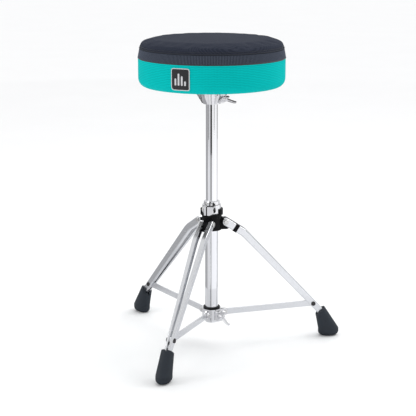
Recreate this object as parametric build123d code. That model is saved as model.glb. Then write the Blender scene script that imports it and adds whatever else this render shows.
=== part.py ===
from build123d import *

import math
import os

# Drum throne: a round padded seat on a telescopic post, over a folding double-braced tripod.
# Millimetres, +Z up. The origin is on the floor, under the axis of the post.
# Leg 1 points along -Y. Every leg is drawn in its own upright plane (X outwards, Y sideways)
# and then turned about Z to its place.

# ---- driving dimensions ----------------------------------------------------------------------
sheet_clear = 0.3          # air between parts that move past each other
run_clear = 0.05           # radial clearance of a turning or sliding fit

# tubes: the post slides in a nylon bush inside the base tube
post_radius = 12.7
post_wall = 1.2
post_length = 361.5
bush_wall = 0.55
bush_length = 45.0
bush_lip = 2.5
base_wall = 1.0
base_foot_drop = 6.5       # how far the base tube stands out below the collar

# hub: nylon, fixed to the base tube, one lug between the two bars of each leg
hub_bottom = 256.0
hub_height = 37.0
hub_wall = 7.0
hub_pivot_out = 15.3       # leg pivot, outwards from the base tube's surface
hub_pivot_rise = 17.5
hub_lug_width = 12.0
hub_lug_out = 12.4
hub_cup_wall = 3.8
hub_cup_height = 9.5
pivot_pin_radius = 3.0
pivot_head_radius = 5.4
pivot_head_height = 1.9

# legs, drawn in their own upright plane
leg_azimuths = (-90.0, 30.0, 150.0)
knee_out = 39.9            # from the leg pivot to the knee
knee_drop = 26.0
leg_slope = 47.0           # degrees below level, from the knee down
rivet_height = 76.6
leg_tail = 44.0            # from the strut rivet to the leg's end inside the foot
knee_bend = 60.0
plan_bend = 120.0
bar_half_depth_top = 7.9
bar_half_depth_low = 7.2
bar_wall = 1.7
bar_width_knee = 9.1
bar_width_rivet = 5.7
bar_width_end = 4.0
bar_corner = 2.0
spacer_half_depth = 2.6
spacer_start = 18.0        # along the leg, below the rivet
spacer_length = 5.0

# black sleeve on one bar of one leg
sleeve_leg = 2
sleeve_distance = 26.5     # from the leg pivot, along the bar
sleeve_length = 9.0
sleeve_thickness = 0.6

# rubber feet
foot_start = 26.0          # along the leg, below the rivet
foot_top_radius = 13.6
foot_half_length = 23.3
foot_half_width = 16.2
foot_edge_height = 16.0
foot_round = 9.5
foot_set_back = 19.0       # the foot's centre, inwards from the leg's line
foot_socket_clear = 0.5
foot_relief = 4.0           # depth of the slot in the rim that lets the strut's end pass

# lower collar and struts
collar_bottom = 52.5
collar_height = 24.5
collar_wall = 4.6
collar_bush_wall = 1.7
collar_bush_flange = 2.4
collar_bush_lip = 3.4
strut_pivot_out = 15.7
strut_pivot_rise = 14.1
strut_half_depth = 6.9
strut_thickness = 3.2
strut_corner = 0.9
strut_pin_radius = 2.5
strut_head_height = 1.4
rivet_pin_radius = 3.0
rivet_head_radius = 5.0
rivet_head_height = 1.7
lug_thickness = 4.2
lug_end_radius = 6.6

# clamp bosses with a square nut and a wing bolt, on the collar and on the seat bracket
collar_wing_azimuth = -30.0
seat_wing_azimuth = -14.0
boss_width = 16.0
boss_corner = 2.5
boss_front = 2.7
nut_set_out = 6.5
nut_side = 12.6
nut_thickness = 6.0
nut_pocket_clear = 0.1
screw_radius = 4.0
screw_hole_clear = 0.35
tip_gap = 0.4
washer_radius = 6.8
washer_thickness = 1.6
wing_hub_radius = 6.4
wing_hub_length = 9.5
wing_span = 37.0
wing_reach = 25.0
wing_thickness = 4.2
seat_wing_turn = -28.0      # how the wings stand at rest, about the bolt's own axis
collar_wing_turn = -70.0

# height clamp at the top of the base tube, with its key bolt
clamp_height = 19.0
clamp_base_grip = 12.0     # how much of the base tube stands in the clamp
clamp_wall = 6.1
clamp_slit = 2.6
clamp_ear_thickness = 5.6
clamp_cheek_width = 13.8
clamp_cheek_slant = 5.0
clamp_bolt_out = 4.8
clamp_ear_end = 5.8
clamp_bolt_radius = 3.0
clamp_bolt_rise = 3.0        # above the middle of the clamp
clamp_nut_radius = 5.6
clamp_nut_height = 4.0
key_head_radius = 4.3
key_head_height = 2.2
key_square = 5.4
key_square_height = 4.4

# memory lock: a split ring on the post
lock_height = 7.2
lock_wall = 4.5
lock_azimuth = -78.0
lock_ear_thickness = 4.6
lock_bolt_out = 4.2
lock_ear_end = 4.1
lock_tab = 3.0
lock_bolt_radius = 2.0
lock_head_radius = 3.3
lock_square = 3.6
lock_square_height = 2.6
lock_nut_radius = 4.0
lock_nut_height = 3.2

# seat
seat_radius = 157.0
seat_bottom = 569.0
seat_side_height = 61.0
seat_band_height = 20.0
seat_corner = 18.0
band_lean = 4.0            # how much narrower the band is at the welt
shoulder_radius = 18.0
crown_angle = 4.0          # degrees of slope where the crown meets the shoulder
cover_thickness = 1.5
board_thickness = 12.0
board_margin = 4.0
hem_width = 26.0
dust_cover_thickness = 0.8
dust_cover_margin = 14.0
staple_count = 30
staple_inset = 6.0
staple_crown = 10.0
staple_wire = 0.9
staple_leg = 7.0
label_azimuth = -92.6
label_width = 44.0
label_height = 47.0
label_rise = 8.0
label_thickness = 0.8
label_corner = 3.0

# seat bracket
bracket_height = 37.0
bracket_foot_wall = 5.9
bracket_neck_wall = 12.3
bracket_rib_count = 6
bracket_rib_width = 6.0
bracket_rib_out = 1.8
bracket_flange_thickness = 5.2
bracket_flange_margin = 9.5
bracket_bolt_circle = 38.5
bracket_bolt_radius = 3.0
bracket_bolt_head_radius = 5.0
bracket_bolt_head_height = 5.0
seat_wing_rise = 12.5
tee_nut_radius = 4.0
tee_nut_flange_radius = 9.0
tee_nut_flange = 1.3

# ---- worked-out sizes and places --------------------------------------------------------------
post_fit = post_radius + run_clear
base_inner = post_fit + bush_wall
base_radius = base_inner + base_wall
hub_top = hub_bottom + hub_height
base_top = hub_top + clamp_base_grip
clamp_top = hub_top + clamp_height
clamp_radius = base_radius + clamp_wall
base_bottom = collar_bottom - base_foot_drop
collar_top = collar_bottom + collar_height
collar_middle = collar_bottom + collar_height / 2
seat_flange_top = seat_bottom - dust_cover_thickness
bracket_bottom = seat_flange_top - bracket_height
flange_low = seat_flange_top - bracket_flange_thickness
seat_wing_height = bracket_bottom + seat_wing_rise
post_top = flange_low - 1.5
post_bottom = post_top - post_length
seam_height = seat_bottom + seat_side_height
welt_height = seam_height + seat_band_height
welt_radius = seat_radius - band_lean
board_low = seat_bottom + cover_thickness
board_high = board_low + board_thickness
board_radius = seat_radius - seat_corner - board_margin
hem_inner_radius = board_radius - hem_width
dust_cover_radius = board_radius - dust_cover_margin
strut_side = strut_thickness / 2 + sheet_clear    # inner face of what stands beside a strut
bar_gap_hub = hub_lug_width / 2 + sheet_clear
bar_gap_knee = bar_gap_hub - 0.4
far = 400.0                # beyond every part, for blocks that trim larger shapes

leg_dir = Vector(math.cos(math.radians(leg_slope)), 0, -math.sin(math.radians(leg_slope)))
leg_normal = Vector(math.sin(math.radians(leg_slope)), 0, math.cos(math.radians(leg_slope)))
hub_pivot = Vector(base_radius + hub_pivot_out, 0, hub_bottom + hub_pivot_rise)
knee = hub_pivot + Vector(knee_out, 0, -knee_drop)
rivet = knee + leg_dir * ((knee.Z - rivet_height) / -leg_dir.Z)
leg_end = rivet + leg_dir * leg_tail
foot_top_centre = rivet + leg_dir * foot_start
foot_line_radius = rivet.X + (rivet.Z - foot_edge_height) / math.tan(math.radians(leg_slope))
foot_centre = foot_line_radius - foot_set_back
strut_pivot = Vector(base_radius + strut_pivot_out, 0, collar_bottom + strut_pivot_rise)


# ---- helpers ----------------------------------------------------------------------------------
def spin(shape, azimuth):
    """Turns a shape drawn along +X to its azimuth."""
    return Rot(0, 0, azimuth) * shape


def ring(outer, inner, low, high):
    """A plain upright ring between two heights."""
    tall = high - low
    body = Pos(0, 0, low + tall / 2) * Cylinder(outer, tall)
    return body - Pos(0, 0, low + tall / 2) * Cylinder(inner, tall + 2)


def block(x0, x1, y0, y1, z0, z1):
    """A box given by its two ends along each axis."""
    centre = Pos((x0 + x1) / 2, (y0 + y1) / 2, (z0 + z1) / 2)
    return centre * Box(x1 - x0, y1 - y0, z1 - z0)


def rod_along_y(radius, y0, y1, x, z):
    """A round rod along Y at a place in the XZ plane."""
    return Pos(x, (y0 + y1) / 2, z) * Rot(90, 0, 0) * Cylinder(radius, y1 - y0)


def rod_along_x(radius, x0, x1, z, y=0.0):
    """A round rod along X."""
    return Pos((x0 + x1) / 2, y, z) * Rot(0, 90, 0) * Cylinder(radius, x1 - x0)


def upright_prism(points, y0, y1):
    """A prism along Y over a polygon given as (x, z) points."""
    outline = Polyline(*[(x, y0, z) for x, z in points], close=True)
    face = make_face(outline)
    return extrude(face, amount=y1 - y0, dir=(0, 1, 0))


def write(name, shape):
    """Writes one sub-part, with its solids kept separate."""
    solids = shape.solids()
    export_step(solids[0] if len(solids) == 1 else Compound(children=list(solids)), f"parts/{name}.step")


# ---- seat -------------------------------------------------------------------------------------
def seat_envelope(inset):
    """The whole seat as one turned solid, with every surface moved in by the inset."""
    turn = math.radians(90 - crown_angle)
    shoulder_centre = welt_radius - shoulder_radius
    shoulder = shoulder_radius - inset
    crown_join = (
        shoulder_centre + shoulder * math.cos(turn),
        welt_height + shoulder * math.sin(turn),
    )
    crown_radius = (shoulder_centre + shoulder_radius * math.cos(turn)) / math.cos(turn) - inset
    crown_centre = crown_join[1] - crown_radius * math.sin(turn)
    crown_mid_x = crown_join[0] / 2
    crown_mid = (crown_mid_x, crown_centre + math.sqrt(crown_radius**2 - crown_mid_x**2))
    top = (0, crown_centre + crown_radius)
    half_turn = turn / 2
    shoulder_mid = (
        shoulder_centre + shoulder * math.cos(half_turn),
        welt_height + shoulder * math.sin(half_turn),
    )
    welt = (welt_radius - inset, welt_height)
    seam = (seat_radius - inset, seam_height)
    corner = seat_corner - inset
    corner_centre = (seat_radius - seat_corner, seat_bottom + seat_corner)
    corner_start = (seat_radius - inset, corner_centre[1])
    corner_mid = (
        corner_centre[0] + corner * math.cos(math.radians(45)),
        corner_centre[1] - corner * math.sin(math.radians(45)),
    )
    corner_end = (corner_centre[0], seat_bottom + inset)
    with BuildSketch(Plane.XZ) as section:
        with BuildLine():
            ThreePointArc(top, crown_mid, crown_join)
            ThreePointArc(crown_join, shoulder_mid, welt)
            Line(welt, seam)
            Line(seam, corner_start)
            ThreePointArc(corner_start, corner_mid, corner_end)
            Line(corner_end, (0, seat_bottom + inset))
            Line((0, seat_bottom + inset), top)
        make_face()
    return revolve(section.sketch, axis=Axis.Z)


def height_slab(low, high):
    """A wide slab used to cut a piece between two heights."""
    return block(-far, far, -far, far, low, high)


def seat_covers():
    """The three fabric covers, each a shell of the cover's thickness."""
    shell = seat_envelope(0) - seat_envelope(cover_thickness)
    top = shell & height_slab(welt_height, welt_height + 100)
    band = shell & height_slab(seam_height, welt_height)
    side = shell & height_slab(seat_bottom - 1, seam_height)
    side -= Pos(0, 0, seat_bottom) * Cylinder(hem_inner_radius, 20)
    write("seat_cover_top", top)
    write("seat_cover_band", band)
    write("seat_cover_side", side)


def seat_core():
    """Foam over a plywood board; the board carries the tee nuts."""
    inner = seat_envelope(cover_thickness)
    blank = Pos(0, 0, (board_low + board_high) / 2) * Cylinder(board_radius, board_thickness)
    write("foam_pad", inner - blank)
    for hole in bolt_places():
        blank -= hole * Pos(0, 0, board_low) * Cylinder(tee_nut_radius, 4 * board_thickness)
        sink = Cylinder(tee_nut_flange_radius, 2 * tee_nut_flange)
        blank -= hole * Pos(0, 0, board_high) * sink
    write("seat_board", blank)


def bolt_places():
    """The four bracket bolts, as rotations and shifts about the post axis."""
    return [Rot(0, 0, 45 + 90 * i) * Pos(bracket_bolt_circle, 0, 0) for i in range(4)]


def seat_fixings():
    """Tee nuts, bolts and the dust cover with its staples."""
    barrel = board_thickness - tee_nut_flange
    nut = Pos(0, 0, board_low + barrel / 2) * Cylinder(tee_nut_radius, barrel)
    nut += Pos(0, 0, board_high - tee_nut_flange / 2) * Cylinder(tee_nut_flange_radius, tee_nut_flange)
    nut -= Pos(0, 0, board_low) * Cylinder(bracket_bolt_radius, 6 * board_thickness)
    write("tee_nuts", Compound(children=[place * nut for place in bolt_places()]))

    shank_top = board_high - 2 * tee_nut_flange
    bolt = Pos(0, 0, (flange_low + shank_top) / 2) * Cylinder(bracket_bolt_radius, shank_top - flange_low)
    head_centre = flange_low - bracket_bolt_head_height / 2
    bolt += Pos(0, 0, head_centre) * Cylinder(bracket_bolt_head_radius, bracket_bolt_head_height)
    socket = extrude(RegularPolygon(2.4, 6), amount=bracket_bolt_head_height * 0.6)
    bolt -= Pos(0, 0, flange_low - bracket_bolt_head_height) * socket
    write("bracket_bolts", Compound(children=[place * bolt for place in bolt_places()]))

    cover = Pos(0, 0, (seat_flange_top + seat_bottom) / 2) * Cylinder(dust_cover_radius, dust_cover_thickness)
    for place in bolt_places():
        cover -= place * Pos(0, 0, seat_bottom) * Cylinder(bracket_bolt_radius, 10)
    write("dust_cover", cover)

    staple_radius = dust_cover_radius - staple_inset
    crown_low = seat_flange_top - staple_wire
    crown = block(-staple_wire / 2, staple_wire / 2, -staple_crown / 2, staple_crown / 2,
                  crown_low, seat_flange_top)
    staple = crown
    for side in (-1, 1):
        leg_y = side * (staple_crown / 2 - staple_wire / 2)
        staple += block(-staple_wire / 2, staple_wire / 2, leg_y - staple_wire / 2,
                        leg_y + staple_wire / 2, crown_low, crown_low + staple_leg)
    step = 360 / staple_count
    staples = [spin(Pos(staple_radius, 0, 0) * staple, i * step) for i in range(staple_count)]
    write("cover_staples", Compound(children=staples))


def seat_label():
    """A woven patch that lies on the side cover."""
    skin = seat_envelope(-label_thickness) - seat_envelope(0)
    patch = Plane.YZ * RectangleRounded(label_width, label_height, label_corner)
    window = extrude(patch, amount=far)
    window = Pos(0, 0, seat_bottom + label_rise + label_height / 2) * window
    write("seat_label", spin(skin & window, label_azimuth))


# ---- clamp boss, square nut and wing bolt -----------------------------------------------------
def nut_inner(tube):
    """Where the inner face of the square nut stands, for a clamp on a tube of this radius."""
    return tube + nut_set_out


def boss_reach(tube):
    """Where the outer face of the clamp boss stands."""
    return nut_inner(tube) + nut_thickness + boss_front


def clamp_boss(tube, low, high):
    """The block on the outside of a sleeve that takes the nut and the screw, drawn along +X."""
    half = boss_width / 2
    boss = block(tube, boss_reach(tube), -half, half, low, high)
    return fillet(boss.edges().filter_by(Axis.X), boss_corner)


def nut_pocket(tube, low, height):
    """The slot in a clamp boss, open below, that the square nut is pushed into."""
    side = nut_side / 2 + nut_pocket_clear
    start = nut_inner(tube) - nut_pocket_clear
    return block(start, start + nut_thickness + 2 * nut_pocket_clear, -side, side, low - 1, height + side)


def screw_hole(tube, height):
    """The clearance hole of the wing bolt's screw, drawn along +X."""
    return rod_along_x(screw_radius + screw_hole_clear, 0, boss_reach(tube) + 5, height)


def square_nut(tube, height):
    """The nut held in a clamp boss."""
    half = nut_side / 2
    start = nut_inner(tube)
    nut = block(start, start + nut_thickness, -half, half, height - half, height + half)
    nut = fillet(nut.edges().filter_by(Axis.X), 0.8)
    return nut - rod_along_x(screw_radius + run_clear, 0, boss_reach(tube), height)


def wing_bolt(tube):
    """A cast wing bolt with its washer face, drawn along +X with its wings in the XY plane."""
    start = boss_reach(tube) + sheet_clear
    body = rod_along_x(screw_radius, tube + tip_gap, start + washer_thickness, 0)
    body += rod_along_x(washer_radius, start, start + washer_thickness, 0)
    hub_start = start + washer_thickness
    neck = Pos(hub_start + wing_hub_length / 2, 0, 0) * Rot(0, 90, 0)
    body += neck * Cone(wing_hub_radius, wing_hub_radius - 1.4, wing_hub_length)
    half = wing_span / 2
    wing = [
        (hub_start + 1.5, 0.0),
        (hub_start + 2.5, wing_hub_radius + 1.0),
        (hub_start + 9.0, half * 0.80),
        (hub_start + wing_reach * 0.62, half),
        (hub_start + wing_reach * 0.90, half * 0.97),
        (hub_start + wing_reach, half * 0.80),
        (hub_start + wing_reach * 0.72, half * 0.48),
        (hub_start + wing_hub_length + 1.0, 0.0),
    ]
    outline = wing + [(x, -y) for x, y in reversed(wing[1:-1])]
    blade = make_face(Polyline(*outline, close=True))
    corners = blade.vertices().filter_by(lambda v: abs(v.Y) > 1.0)
    blade = fillet(corners, 1.6)
    blade = extrude(blade, amount=wing_thickness / 2, both=True)
    blade = fillet(blade.edges().filter_by(Axis.Z, reverse=True), 1.2)
    return body + blade


# ---- seat bracket -----------------------------------------------------------------------------
def seat_bracket():
    """The cast socket under the seat that takes the post."""
    flange_radius = bracket_bolt_circle + bracket_flange_margin
    foot_radius = post_radius + bracket_foot_wall
    neck_radius = post_radius + bracket_neck_wall
    tall = flange_low - bracket_bottom
    body = Pos(0, 0, bracket_bottom + tall / 2) * Cone(foot_radius, neck_radius, tall)
    body += ring(flange_radius, post_fit, flange_low, seat_flange_top)
    rib_outline = [
        (0, bracket_bottom + 1.0),
        (foot_radius + bracket_rib_out, bracket_bottom + 1.0),
        (neck_radius + 11.0, flange_low - 6.0),
        (flange_radius - 3.0, flange_low + 1.0),
        (0, flange_low + 1.0),
    ]
    rib = upright_prism(rib_outline, -bracket_rib_width / 2, bracket_rib_width / 2)
    for i in range(bracket_rib_count):
        body += spin(rib, seat_wing_azimuth + (i + 0.5) * 360 / bracket_rib_count)
    boss = clamp_boss(post_radius, seat_wing_height - boss_width / 2 - 1.5, flange_low + 1.0)
    body += spin(boss, seat_wing_azimuth)
    body += Pos(0, 0, flange_low + bracket_flange_thickness / 2) * Cylinder(
        post_radius + 2, bracket_flange_thickness)
    socket_top = post_top + sheet_clear
    body -= Pos(0, 0, socket_top - 50) * Cylinder(post_fit, 100)
    body -= spin(screw_hole(post_radius, seat_wing_height), seat_wing_azimuth)
    body -= spin(nut_pocket(post_radius, bracket_bottom, seat_wing_height), seat_wing_azimuth)
    for place in bolt_places():
        body -= place * Pos(0, 0, seat_flange_top) * Cylinder(bracket_bolt_radius, 30)
        body -= place * Pos(0, 0, flange_low - tall / 2) * Cylinder(bracket_bolt_head_radius + 1, tall)
    write("seat_bracket", body)
    write("seat_clamp_nut", spin(square_nut(post_radius, seat_wing_height), seat_wing_azimuth))
    bolt = Pos(0, 0, seat_wing_height) * Rot(seat_wing_turn, 0, 0) * wing_bolt(post_radius)
    write("seat_wing_bolt", spin(bolt, seat_wing_azimuth))


# ---- post, base tube, bush, clamp, memory lock ------------------------------------------------
def tubes():
    """The sliding post and the fixed base tube, with the nylon bush between them."""
    write("post_tube", ring(post_radius, post_radius - post_wall, post_bottom, post_top))
    write("base_tube", ring(base_radius, base_inner, base_bottom, base_top))
    bush = ring(base_inner, post_fit, base_top - bush_length, base_top + bush_lip)
    bush += ring(base_radius, post_fit, base_top, base_top + bush_lip)
    write("post_bush", bush)


def key_bolt(radius, head_radius, square, square_height, start, end):
    """A square-headed bolt for a drum key, along +X, with its head ending past the end value."""
    bolt = rod_along_x(radius, start, end, 0)
    bolt += rod_along_x(head_radius, end, end + key_head_height, 0)
    drive = block(end + key_head_height, end + key_head_height + square_height,
                  -square / 2, square / 2, -square / 2, square / 2)
    drive = fillet(drive.edges().filter_by(Axis.X), 0.6)
    return bolt + drive


def height_clamp():
    """The split clamp on top of the base tube, tightened by one key bolt at the front."""
    bolt_y = -clamp_radius - clamp_bolt_out
    ear_y = bolt_y - clamp_ear_end
    ear_left = -clamp_slit / 2 - clamp_ear_thickness
    cheek_right = clamp_slit / 2 + clamp_cheek_width
    body = ring(clamp_radius, post_radius, hub_top, clamp_top)
    body += block(ear_left, 0, ear_y, -base_radius, hub_top, clamp_top)
    cheek_outline = [
        (0, hub_top),
        (clamp_slit / 2 + clamp_ear_thickness, hub_top),
        (cheek_right, hub_top + clamp_cheek_slant),
        (cheek_right, clamp_top),
        (0, clamp_top),
    ]
    body += upright_prism(cheek_outline, ear_y, -base_radius)
    front_edges = body.edges().filter_by(Axis.Z).filter_by(lambda e: e.center().Y < ear_y + 1)
    body = fillet(front_edges, 2.0)
    grip_high = base_top + bush_lip
    body -= Pos(0, 0, grip_high - 50) * Cylinder(base_radius, 100)
    body -= Pos(0, 0, clamp_top) * Cylinder(post_fit + run_clear, 100)
    body -= block(-clamp_slit / 2, clamp_slit / 2, -far, 0, hub_top - 1, clamp_top + 1)
    bolt_z = (hub_top + clamp_top) / 2 + clamp_bolt_rise
    sink_start = cheek_right - key_square_height - key_head_height + 1.0
    body -= rod_along_x(clamp_bolt_radius + run_clear, -40, 40, bolt_z, bolt_y)
    body -= rod_along_x(key_head_radius + 0.6, sink_start, 40, bolt_z, bolt_y)
    write("height_clamp", body)

    nut_out = ear_left - clamp_nut_height
    bolt = key_bolt(clamp_bolt_radius, key_head_radius, key_square, key_square_height,
                    nut_out - 1.5, sink_start + sheet_clear)
    write("height_clamp_bolt", Pos(0, bolt_y, bolt_z) * bolt)
    hexagon = Plane.YZ * RegularPolygon(clamp_nut_radius, 6)
    nut = Pos(nut_out, 0, 0) * extrude(hexagon, amount=clamp_nut_height)
    nut -= rod_along_x(clamp_bolt_radius + run_clear, -40, 40, 0)
    write("height_clamp_nut", Pos(0, bolt_y, bolt_z) * nut)


def memory_lock():
    """The split ring that marks the post's height, resting on the clamp."""
    low = clamp_top + sheet_clear
    high = low + lock_height
    middle = (low + high) / 2
    lock_radius = post_radius + lock_wall
    bolt_x = lock_radius + lock_bolt_out
    ear_x = bolt_x + lock_ear_end
    half_slit = clamp_slit / 2
    ear_side = half_slit + lock_ear_thickness
    body = ring(lock_radius, post_fit, low, high)
    ears = block(post_radius + 2.0, ear_x, -ear_side, ear_side, low, high)
    end_edges = ears.edges().filter_by(Axis.Y).filter_by(lambda e: e.center().X > ear_x - 1)
    body += fillet(end_edges, 2.6)
    tab = block(-lock_radius - lock_tab, -post_radius - 2.0, -4.5, 4.5, low, high)
    body += fillet(tab.edges().filter_by(Axis.Z), 1.2)
    body -= Pos(0, 0, middle) * Cylinder(post_fit, 40)
    body -= block(post_radius - 3, far, -half_slit, half_slit, low - 1, high + 1)
    body -= rod_along_y(lock_bolt_radius + run_clear, -30, 30, bolt_x, middle)
    write("memory_lock", spin(body, lock_azimuth))

    place = Pos(bolt_x, 0, middle) * Rot(0, 0, 90)
    bolt = key_bolt(lock_bolt_radius, lock_head_radius, lock_square, lock_square_height,
                    -ear_side - lock_nut_height - 1.0, ear_side + sheet_clear)
    write("memory_lock_bolt", spin(place * bolt, lock_azimuth))
    nut = extrude(Plane.YZ * RegularPolygon(lock_nut_radius, 6), amount=lock_nut_height)
    nut = Pos(-ear_side - lock_nut_height, 0, 0) * nut
    nut -= rod_along_x(lock_bolt_radius + run_clear, -40, 40, 0)
    write("memory_lock_nut", spin(place * nut, lock_azimuth))


# ---- hub --------------------------------------------------------------------------------------
def leg_hub():
    """The nylon hub fixed to the base tube, with one lug between the two bars of each leg."""
    hub_radius = base_radius + hub_wall
    cup_radius = clamp_radius + sheet_clear + hub_cup_wall
    lug_reach = hub_pivot.X + hub_lug_out
    body = ring(hub_radius, base_radius, hub_bottom, hub_top)
    cup = ring(cup_radius, clamp_radius + sheet_clear, hub_top - 2.0, hub_top + hub_cup_height)
    cup += ring(cup_radius, base_radius, hub_top - 3.0, hub_top)
    cup -= block(-far, far, -far, -8, hub_top, hub_top + hub_cup_height + 1)
    body += cup
    lug_outline = [
        (base_radius + 1, hub_pivot.Z + 10.0),
        (hub_radius + 1.5, hub_pivot.Z + 10.0),
        (hub_pivot.X - 2.0, hub_pivot.Z + 6.0),
        (hub_pivot.X + 6.0, hub_pivot.Z + 4.5),
        (lug_reach - 1.0, hub_pivot.Z - 5.0),
        (lug_reach, hub_bottom + 4.0),
        (lug_reach - 9.0, hub_bottom),
        (base_radius + 1, hub_bottom),
    ]
    lug = upright_prism(lug_outline, -hub_lug_width / 2, hub_lug_width / 2)
    outer_edges = lug.edges().filter_by(Axis.Y).filter_by(lambda e: e.center().X > hub_pivot.X - 3)
    lug = fillet(outer_edges, 2.2)
    for azimuth in leg_azimuths:
        body += spin(lug, azimuth)
    body -= Pos(0, 0, hub_bottom) * Cylinder(base_radius, 200)
    for azimuth in leg_azimuths:
        body -= spin(rod_along_y(pivot_pin_radius, -20, 20, hub_pivot.X, hub_pivot.Z), azimuth)
    write("leg_hub", body)


def domed_pin(radius, head_radius, head_height, y0, y1, place):
    """A pin along Y with a low domed head at both ends."""
    pin = rod_along_y(radius, y0, y1, place.X, place.Z)
    for y, way in ((y0, -1), (y1, 1)):
        head = Cylinder(head_radius, head_height)
        head = fillet(head.edges().sort_by(Axis.Z)[-1], head_height * 0.7)
        head = Pos(place.X, y + way * head_height / 2, place.Z) * Rot(-90 * way, 0, 0) * head
        pin += head
    return pin


def hub_pins():
    """The three pins on which the legs turn."""
    outer = bar_gap_hub + bar_width_knee + sheet_clear + 0.35
    pin = domed_pin(pivot_pin_radius, pivot_head_radius, pivot_head_height, -outer, outer, hub_pivot)
    write("hub_pins", Compound(children=[spin(pin, azimuth) for azimuth in leg_azimuths]))


# ---- legs -------------------------------------------------------------------------------------
def leg_side_face(inset):
    """The side view of a leg bar: a strip with a rounded top end, bent at the knee."""
    first = (knee - hub_pivot).normalized()
    first_normal = Vector(-first.Z, 0, first.X)
    top = bar_half_depth_top - inset
    low = bar_half_depth_low - inset
    end = leg_end - leg_dir * inset
    bisector = (first_normal + leg_normal).normalized()
    mitre = top / bisector.dot(leg_normal)
    upper = [hub_pivot + first_normal * top, knee + bisector * mitre, end + leg_normal * low]
    lower = [hub_pivot - first_normal * top, knee - bisector * mitre, end - leg_normal * low]
    flat = lambda v: (v.X, v.Z)
    with BuildSketch(Plane.XZ) as side:
        with BuildLine():
            FilletPolyline(*[flat(p) for p in upper], radius=knee_bend + top)
            FilletPolyline(*[flat(p) for p in lower], radius=knee_bend - top)
            Line(flat(upper[-1]), flat(lower[-1]))
            ThreePointArc(flat(upper[0]), flat(hub_pivot - first * top), flat(lower[0]))
        make_face()
    return side.sketch


def bar_plan_block(inner_shift, outer_shift):
    """The plan of the left bar, from its inner to its outer side, as a tall block."""
    start = hub_pivot.X - bar_half_depth_top - 5.0
    stop = leg_end.X + 30.0
    inner = [
        (start, bar_gap_hub + inner_shift),
        (knee.X, bar_gap_knee + inner_shift),
        (rivet.X - 12.0, strut_side + inner_shift),
        (stop, strut_side + inner_shift),
    ]
    outer = [
        (stop, strut_side + bar_width_end + outer_shift),
        (foot_top_centre.X, strut_side + bar_width_end + outer_shift),
        (rivet.X, strut_side + bar_width_rivet + outer_shift),
        (knee.X, bar_gap_knee + bar_width_knee + outer_shift),
        (start, bar_gap_hub + bar_width_knee + outer_shift),
    ]
    with BuildSketch() as plan:
        with BuildLine():
            Polyline(*inner)
            Line(inner[-1], outer[0])
            FilletPolyline(*outer, radius=plan_bend)
            Line(outer[-1], inner[0])
        make_face()
    return Pos(0, 0, -50) * extrude(plan.sketch, amount=400)


def bar_solid(grow):
    """The outside of a leg bar on the +Y side, grown by a margin all round."""
    side = extrude(leg_side_face(-grow), amount=60, both=True)
    return side & bar_plan_block(-grow, grow)


def is_web_edge(edge):
    """True for the edges around a bar's web, apart from the square end inside the foot."""
    place = edge.center()
    share = max(0.0, (place.X - knee.X) / (rivet.X - knee.X))
    middle = bar_gap_knee + bar_width_knee / 2 - share * (bar_gap_knee - strut_side + 1.0)
    return place.Y > middle and (leg_end - place).dot(leg_dir) > 0.1


def leg_bar():
    """One pressed bar of a leg: an open channel whose web faces outwards."""
    outside = bar_solid(0)
    outside = fillet(outside.edges().filter_by(is_web_edge), bar_corner)
    pocket = extrude(leg_side_face(bar_wall), amount=60, both=True)
    pocket &= bar_plan_block(-5.0, -bar_wall)
    bar = outside - pocket
    bar -= rod_along_y(pivot_pin_radius + run_clear, 0, 40, hub_pivot.X, hub_pivot.Z)
    bar -= rod_along_y(rivet_pin_radius, 0, 40, rivet.X, rivet.Z)
    return bar


def rivet_stub():
    """Half of the strut rivet, from its domed head in to the side of the strut."""
    outer = strut_side + bar_width_rivet + sheet_clear
    stub = rod_along_y(rivet_pin_radius, strut_side, outer, rivet.X, rivet.Z)
    head = Cylinder(rivet_head_radius, rivet_head_height)
    head = fillet(head.edges().sort_by(Axis.Z)[-1], rivet_head_height * 0.7)
    return stub + Pos(rivet.X, outer + rivet_head_height / 2, rivet.Z) * Rot(-90, 0, 0) * head


def spacer():
    """The nylon block that holds the two bars apart above the foot."""
    centre = rivet + leg_dir * (spacer_start + spacer_length / 2)
    place = Pos(centre.X, 0, centre.Z) * Rot(0, leg_slope, 0)
    return place * Box(spacer_length, 2 * strut_side, 2 * spacer_half_depth)


def rubber_foot():
    """A rubber foot: round where the leg enters, spreading to a long oval on the floor."""
    collar = Plane(origin=foot_top_centre, x_dir=leg_normal, z_dir=leg_dir)
    top = collar * Circle(foot_top_radius)
    floor_plane = Plane(origin=(foot_centre, 0, foot_edge_height), x_dir=(-1, 0, 0), z_dir=(0, 0, -1))
    bottom = floor_plane * Ellipse(foot_half_length, foot_half_width)
    body = loft([top, bottom])
    body += extrude(bottom, amount=foot_edge_height, dir=(0, 0, -1))
    body = fillet(body.edges().sort_by(Axis.Z)[0], foot_round)
    socket_length = (leg_end - foot_top_centre).length + 1.0
    half_width = strut_side + bar_width_end + foot_socket_clear
    socket_centre = foot_top_centre + leg_dir * (socket_length / 2 - 1.0)
    place = Pos(socket_centre.X, 0, socket_centre.Z) * Rot(0, leg_slope, 0)
    depth = 2 * bar_half_depth_low + 1.0
    body -= place * Box(socket_length + 2.0, 2 * half_width, depth)
    relief = Pos(foot_top_centre.X, 0, foot_top_centre.Z) * Rot(0, leg_slope, 0)
    return body - relief * Box(2 * foot_relief, 2 * (strut_side + 0.2), 4 * foot_top_radius)


def leg_sleeve():
    """A thin black sleeve around one bar, between the hub and the knee."""
    tilt = math.degrees(math.atan2(knee_drop, knee_out))
    middle = hub_pivot + (knee - hub_pivot).normalized() * sleeve_distance
    slab = Pos(middle.X, 20, middle.Z) * Rot(0, tilt, 0) * Box(sleeve_length, 60, 60)
    return (bar_solid(sleeve_thickness) - bar_solid(0)) & slab


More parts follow.
